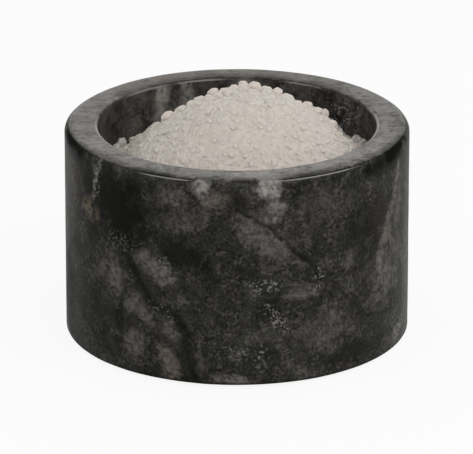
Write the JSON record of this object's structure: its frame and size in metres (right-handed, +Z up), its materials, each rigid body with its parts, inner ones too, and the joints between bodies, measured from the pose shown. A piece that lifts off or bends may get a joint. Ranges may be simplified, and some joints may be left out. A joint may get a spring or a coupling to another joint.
{
  "type": "salt cellar",
  "caption": "Lidless round salt cellar turned from a block of dark veined marble, on thin foot pads, heaped with coarse salt to take by the pinch.",
  "frame": {"origin": "on the table, on the axis of the bowl", "axes": "+Z up along the axis of the bowl, -Y towards the front, +X to the right, where the heap's crest is shifted"},
  "size_m": [0.09, 0.09, 0.067],
  "materials": {
    "marble": "polished",
    "salt": "satin",
    "pad": "satin"
  },
  "bodies": {
    "root": {"marble_bowl": "marble", "foot_pads": "pad", "salt_fill": "salt", "crest_crystals": "salt", "flank_crystals": "salt", "wall_crystals": "salt"}
  },
  "joints": []
}
